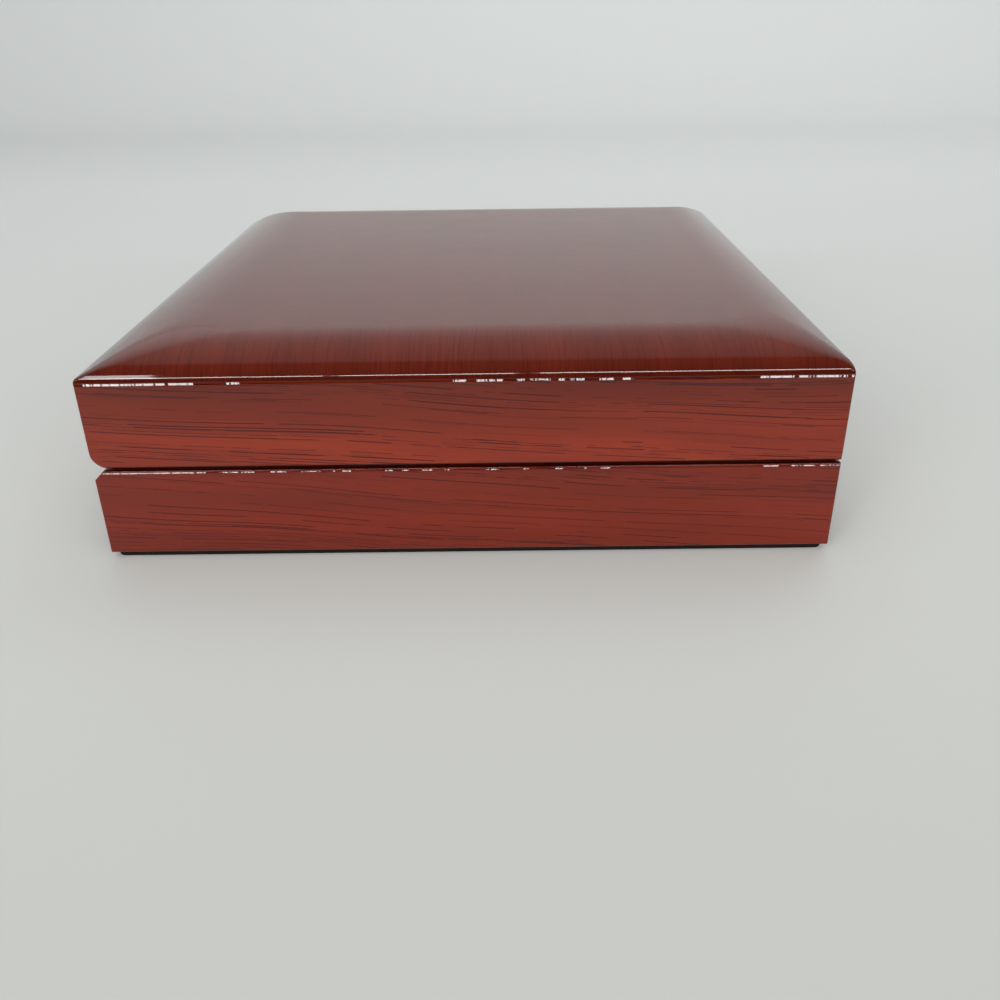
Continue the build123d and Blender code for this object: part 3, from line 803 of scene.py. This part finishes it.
def gatherEdges(piece, gathers):
    edge = max(abs(vertex.co.x) for vertex in piece.data.vertices)
    moves = []
    for vertex in piece.data.vertices:
        across, along = vertex.co.x, vertex.co.y
        fold = 0.0
        for far, line in ((abs(across), along), (abs(along), across)):
            near = max(0.0, 1 - (edge - far) / gathers["reach"])
            side = math.copysign(gathers["seed"], across if far == abs(across) else along)
            spot = Vector((line / gathers["pitch"], far / gathers["length"], side))
            fold += near * near * noise.noise(spot)
        facing = max(0.0, -vertex.normal.z)
        moves.append(vertex.normal * (fold * facing * facing * gathers["depth"]))
    for vertex, move in zip(piece.data.vertices, moves):
        vertex.co += move
    piece.data.update()


def copyPiece(piece, name, shift):
    other = piece.copy()
    other.data = piece.data.copy()
    other.name = name
    other.data.transform(Matrix.Translation(shift))
    scene.collection.objects.link(other)
    return other


pipingShape = {"radius": 0.00060, "sink": 0.00020, "points": 160, "outside": 0.2}


def pillowPiping(pillow, node, shape):
    # a cord laid along the pillow's widest line, found by looking inwards from all round it
    low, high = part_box(node)
    middle = (low + high) / 2
    bpy.context.view_layer.update()
    bpy.ops.mesh.primitive_circle_add(vertices=shape["points"], radius=1.0, location=(0, 0, 0))
    ring = bpy.context.object
    ring.name = "pillowPiping"
    for vertex in ring.data.vertices:
        outward = Vector((vertex.co.x, vertex.co.y, 0)).normalized()
        hit, point, _, _ = pillow.ray_cast(middle + outward * shape["outside"], -outward)
        vertex.co = (point if hit else middle) - outward * shape["sink"]
    settled = ring.modifiers.new("Settled", "SMOOTH")
    settled.iterations = 3
    applyAll(ring)
    selectOnly(ring)
    bpy.ops.object.convert(target="CURVE")
    ring.data.bevel_depth = shape["radius"]
    ring.data.bevel_resolution = 3
    bpy.ops.object.convert(target="MESH")
    bpy.ops.object.shade_smooth()
    return bpy.context.object


def settle(piece, body, replaced):
    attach(piece, body)
    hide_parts(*replaced)


# Crowned top panel, modelled as a stack of rings that shrink and grow rounder towards the level middle
crown = {
    "foot": 0.04240,
    "rise": 0.00715,
    "slope": 27.7,             # degrees, at its steepest
    "easing": 0.6,             # 0 is a plain arc, 1 eases fully into the level middle
    "edges": {"front": 0.0012, "back": 0.0034, "side": 0.0041},     # radius of the roundover at each edge
    "rings": 34,
    "roundSteps": 40,
    "slopeSteps": 120,
    # corner radius at the rim and at the level middle, and how soon it grows
    "nearCorner": (0.0006, 0.017, 0.8),
    "farCorner": (0.0006, 0.0016, 0.8),
    "cornerSteps": 8,
    "tongue": (0.0091, 0.0020),         # how far in, and how deep
}


def crownProfile(radius, shape):
    # (how far in, how high) from the edge: a roundover, then a slope that eases off to level
    slope = math.radians(shape["slope"])
    turn = radius * math.cos(slope)
    profile = []
    turnSteps = shape["roundSteps"]
    for step in range(turnSteps + 1):
        lean = slope + (math.pi / 2 - slope) * (1 - step / turnSteps)
        profile.append((radius * (1 - math.sin(lean)), radius * math.cos(lean)))
    steps = shape["slopeSteps"]
    rises = []
    for step in range(steps):
        along = (step + 0.5) / steps
        eased = along * along * (3 - 2 * along)
        rises.append(math.tan(slope * (1 - along - shape["easing"] * (eased - along))))
    pace = (shape["rise"] - turn) / sum(rises)
    for rise in rises:
        inset, height = profile[-1]
        profile.append((inset + pace, height + rise * pace))
    return profile


def crownInset(height, profile):
    for (inset, low), (further, high) in zip(profile, profile[1:]):
        if height <= high:
            return inset + (further - inset) * (height - low) / (high - low)
    return profile[-1][0]


closeEnough = 0.000001


def selectByHeight(piece, *levels):
    bpy.ops.object.mode_set(mode="EDIT")
    bpy.ops.mesh.select_mode(type="VERT")
    bpy.ops.mesh.select_all(action="DESELECT")
    bpy.ops.object.mode_set(mode="OBJECT")
    for vertex in piece.data.vertices:
        vertex.select = any(abs(vertex.co.z - level) < closeEnough for level in levels)
    bpy.ops.object.mode_set(mode="EDIT")


def crownPanel(shape):
    # closer together at the rim and at the level middle
    turns = [math.pi * step / shape["rings"] for step in range(shape["rings"] + 1)]
    heights = [shape["rise"] * (1 - math.cos(turn)) / 2 for turn in turns]
    profiles = {name: crownProfile(radius, shape) for name, radius in shape["edges"].items()}
    reach = profiles["side"][-1][0]
    rings = []
    for height in heights:
        front, back, side = (crownInset(height, profiles[name]) for name in ("front", "back", "side"))
        lowX, highX, lowY = front - boxHalf, boxHalf - back, side - boxHalf
        bpy.ops.mesh.primitive_plane_add(size=1, location=((lowX + highX) / 2, 0, shape["foot"] + height))
        ring = bpy.context.object
        ring.scale = (highX - lowX, -2 * lowY, 1)
        bpy.ops.object.transform_apply(location=True, rotation=True, scale=True)
        share = max(side, 0.0) / reach
        for near, (rim, middle, growth) in ((True, shape["nearCorner"]), (False, shape["farCorner"])):
            radius = rim + (middle - rim) * share ** growth
            bpy.ops.object.mode_set(mode="EDIT")
            bpy.ops.mesh.select_mode(type="VERT")
            bpy.ops.mesh.select_all(action="DESELECT")
            bpy.ops.object.mode_set(mode="OBJECT")
            for vertex in ring.data.vertices:
                vertex.select = (vertex.co.y < 0) == near and abs(vertex.co.y) > -lowY - closeEnough
            bpy.ops.object.mode_set(mode="EDIT")
            bpy.ops.mesh.bevel(offset=radius, segments=shape["cornerSteps"], affect="VERTICES")
            bpy.ops.object.mode_set(mode="OBJECT")
        bpy.ops.object.mode_set(mode="EDIT")
        bpy.ops.mesh.select_all(action="SELECT")
        bpy.ops.mesh.delete(type="ONLY_FACE")
        bpy.ops.object.mode_set(mode="OBJECT")
        rings.append(ring)
    selectOnly(*rings)
    bpy.ops.object.join()
    panel = bpy.context.object
    panel.name = "crownPanel"
    panel.data.name = "crownPanel"
    for lower, upper in zip(heights, heights[1:]):
        selectByHeight(panel, shape["foot"] + lower, shape["foot"] + upper)
        bpy.ops.mesh.bridge_edge_loops()
        bpy.ops.object.mode_set(mode="OBJECT")
    selectByHeight(panel, shape["foot"] + shape["rise"])
    bpy.ops.mesh.edge_face_add()
    inset, depth = shape["tongue"]
    selectByHeight(panel, shape["foot"])
    bpy.ops.mesh.edge_face_add()
    bpy.ops.mesh.extrude_region_move(TRANSFORM_OT_translate={"value": (0, 0, 0)})
    narrower = 1 - inset / boxHalf
    bpy.ops.transform.resize(value=(narrower, narrower, 1), center_override=(0, 0, shape["foot"]))
    bpy.ops.mesh.extrude_region_move(TRANSFORM_OT_translate={"value": (0, 0, -depth)})
    bpy.ops.mesh.select_all(action="SELECT")
    bpy.ops.mesh.normals_make_consistent(inside=False)
    bpy.ops.object.mode_set(mode="OBJECT")
    bpy.ops.object.shade_smooth_by_angle(angle=math.radians(40))
    return panel


topPanel = crownPanel(crown)
topPanel.data.materials.append(woods["top"])
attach(topPanel, "lid")
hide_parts("lid_top_panel")
print("crowned panel made:", len(topPanel.data.polygons), "faces")


firstRoll = stuffedPiece("ringRoll_1", softPieces["ringRoll"])
firstRoll.data.materials.append(cloths["velvetRoll"])
rolls = [firstRoll]
for number in range(2, 6):
    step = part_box(f"ring_roll_{number}")[0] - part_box("ring_roll_1")[0]
    rolls.append(copyPiece(firstRoll, f"ringRoll_{number}", step))
for number, roll in enumerate(rolls, start=1):
    settle(roll, "base", [f"ring_roll_{number}"])
pillow = stuffedPiece("braceletPillow", softPieces["braceletPillow"])
pillow.data.materials.append(cloths["velvetRoll"])
settle(pillow, "base", ["bracelet_pillow"])
piping = pillowPiping(pillow, "bracelet_pillow", pipingShape)
piping.data.materials.append(cloths["satin"])
settle(piping, "base", ["bracelet_pillow"])
pad = stuffedPiece("lidPad", softPieces["lidPad"])
gatherEdges(pad, padGathers)
pad.data.materials.append(cloths["paddedSatin"])
settle(pad, "lid", ["lid_pad"])
print("stuffed pieces made")
screw = slottedScrew(screwShape)
screw.data.materials.append(metals["brass"])
driveScrews(screw, screwShape)
print("hinge screws driven")


# Floor with a curved back, and soft studio light
studio = {
    # near to far, darker near the camera: painted light on the paper
    "paperAndPaintedLight": [(0.0, (0.455, 0.469, 0.448)), (0.32, (0.640, 0.655, 0.632)), (1.0, (0.760, 0.782, 0.778))],
    "paperReach": (-0.35, 0.45),
    "floor": -0.00005,
    "wallDistance": 1.1,
    "sweepRadius": 0.35,
    "sweepSteps": 12,
    "wallHeight": 0.12,
    "halfWidth": 6.0,
    "front": -6.0,
}


def makeSweep(settings):
    bpy.ops.mesh.primitive_plane_add(size=1, location=(0, 0, 0))
    sweep = bpy.context.object
    sweep.name = "studioSweep"
    bpy.ops.object.mode_set(mode="EDIT")
    bpy.ops.mesh.select_all(action="SELECT")
    bpy.ops.transform.resize(value=(2 * settings["halfWidth"], 1, 1))
    bpy.ops.object.mode_set(mode="OBJECT")
    mesh = sweep.data
    back = settings["wallDistance"] - settings["sweepRadius"]
    for vertex in mesh.vertices:
        vertex.co.y = back if vertex.co.y > 0 else settings["front"]
        vertex.co.z = settings["floor"]
    bpy.ops.object.mode_set(mode="EDIT")
    bpy.ops.mesh.select_all(action="DESELECT")
    bpy.ops.mesh.select_mode(type="EDGE")
    bpy.ops.object.mode_set(mode="OBJECT")
    for edge in mesh.edges:
        edge.select = all(mesh.vertices[index].co.y > back - 0.001 for index in edge.vertices)
    bpy.ops.object.mode_set(mode="EDIT")
    steps = settings["sweepSteps"]
    length = settings["sweepRadius"] * math.pi / 2 / steps
    for step in range(steps):
        angle = (step + 0.5) / steps * math.pi / 2
        bpy.ops.mesh.extrude_region_move(
            TRANSFORM_OT_translate={"value": (0, length * math.cos(angle), length * math.sin(angle))})
    bpy.ops.mesh.extrude_region_move(TRANSFORM_OT_translate={"value": (0, 0, settings["wallHeight"])})
    bpy.ops.object.mode_set(mode="OBJECT")
    bpy.ops.object.shade_smooth()
    material, tree, shader = newMaterial("studioPaper", 0.55)
    place = addNode(tree, "ShaderNodeTexCoord", -8, 0)
    parts = addNode(tree, "ShaderNodeSeparateXYZ", -7, 0)
    tree.links.new(place.outputs["Object"], parts.inputs["Vector"])
    # painted light: the paper is darker near the camera and lighter far off
    far = rescale(tree, -5, 0, parts.outputs["Y"], *settings["paperReach"], smooth=False)
    ramp = colourRamp(tree, -3, 0, settings["paperAndPaintedLight"])
    tree.links.new(far, ramp.inputs["Fac"])
    tree.links.new(ramp.outputs["Color"], shader.inputs["Base Color"])
    sweep.data.materials.append(material)


# brightness that mirrors see, from the horizon behind the camera (0) over the top to the other one (1)
skyGlow = [
    (0.0, 0.13), (0.10, 0.10), (0.50, 0.12), (0.53, 0.15), (0.555, 0.25), (0.585, 0.41), (0.66, 0.54),
    (0.76, 0.64), (0.88, 0.70), (1.0, 0.70),
]
evenLight = (0.34, 0.345, 0.34)


def makeWorld():
    world = bpy.data.worlds.new("studioWorld")
    scene.world = world
    world.use_nodes = True
    tree = world.node_tree
    background = tree.nodes["Background"]
    place = addNode(tree, "ShaderNodeTexCoord", -10, 0)
    parts = addNode(tree, "ShaderNodeSeparateXYZ", -9, 0)
    tree.links.new(place.outputs["Generated"], parts.inputs["Vector"])
    behind = mathStep(tree, "MULTIPLY", -8, 1, parts.outputs["Y"], -1.0)
    arc = mathStep(tree, "ARCTAN2", -7, 0, parts.outputs["Z"], behind)
    share = mathStep(tree, "DIVIDE", -6, 0, arc, math.pi)
    ramp = colourRamp(tree, -5, 0, [(spot, (value, value, value)) for spot, value in skyGlow])
    tree.links.new(share, ramp.inputs["Fac"])
    # mirrors see the room's light and dark, everything else an even soft light
    ray = addNode(tree, "ShaderNodeLightPath", -4, 2)
    seen = mixColours(tree, -2, 0, ray.outputs["Is Glossy Ray"], evenLight, ramp.outputs["Color"])
    tree.links.new(seen, background.inputs["Color"])
    background.inputs["Strength"].default_value = 1.0


def areaLight(name, place, aim, size, power, colour=(1, 1, 1), glossy=True):
    bpy.ops.object.light_add(type="AREA", location=place)
    light = bpy.context.object
    light.name = name
    light.rotation_euler = (Vector(aim) - Vector(place)).to_track_quat("-Z", "Y").to_euler()
    light.data.shape = "RECTANGLE"
    light.data.size, light.data.size_y = size
    light.data.energy = power
    light.data.color = colour
    light.visible_glossy = glossy
    light.visible_camera = False


# Card that only mirrors see: it keeps the floor before the box out of the lacquer's edges
cardPlace = (0, -0.27, 0.047)
cardSize = (2.4, 0.090)


def darkCard():
    bpy.ops.mesh.primitive_plane_add(size=1, location=cardPlace, rotation=(math.radians(90), 0, 0))
    card = bpy.context.object
    card.name = "darkCard"
    card.scale = (*cardSize, 1)
    bpy.ops.object.transform_apply(location=True, rotation=True, scale=True)
    material, tree, shader = newMaterial("blackCard", 0.9)
    shader.inputs["Base Color"].default_value = (0.01, 0.01, 0.01, 1)
    card.data.materials.append(material)
    for rays in ("camera", "diffuse", "shadow", "transmission", "volume_scatter"):
        setattr(card, f"visible_{rays}", False)


makeSweep(studio)
makeWorld()
darkCard()
softWhite = (1, 0.99, 0.98)
areaLight("skyPanel", (-0.10, -0.45, 1.25), (0, -0.1, 0), (1.8, 1.2), 5.0, softWhite, glossy=False)
areaLight("frontFill", (-0.55, -1.3, 0.7), (0, 0, 0.02), (1.6, 0.5), 2.2, softWhite, glossy=False)
areaLight("backGlow", (0.40, 0.55, 0.9), (0.35, 0.70, 0), (1.4, 0.7), 3.0, glossy=False)
# thin strip behind the camera, in three pieces with their middles and lengths: it lights the near arrises
strips = {"stripLeft": (-0.79, 1.03), "stripMiddle": (-0.105, 0.285), "stripRight": (0.69, 1.22)}
stripPlace = (-1.1, 0.45)
stripAim = (-0.08, 0.045)
stripWidth = 0.07
stripPower = 4.4            # for each metre of its length
for name, (middle, length) in strips.items():
    areaLight(name, (middle, *stripPlace), (middle, *stripAim), (length, stripWidth), stripPower * length)
areaLight("cornerStrip", (-0.665, -1.1, 0.64), (-0.665, *stripAim), (0.13, 0.45), 1.9)
print("studio lit")
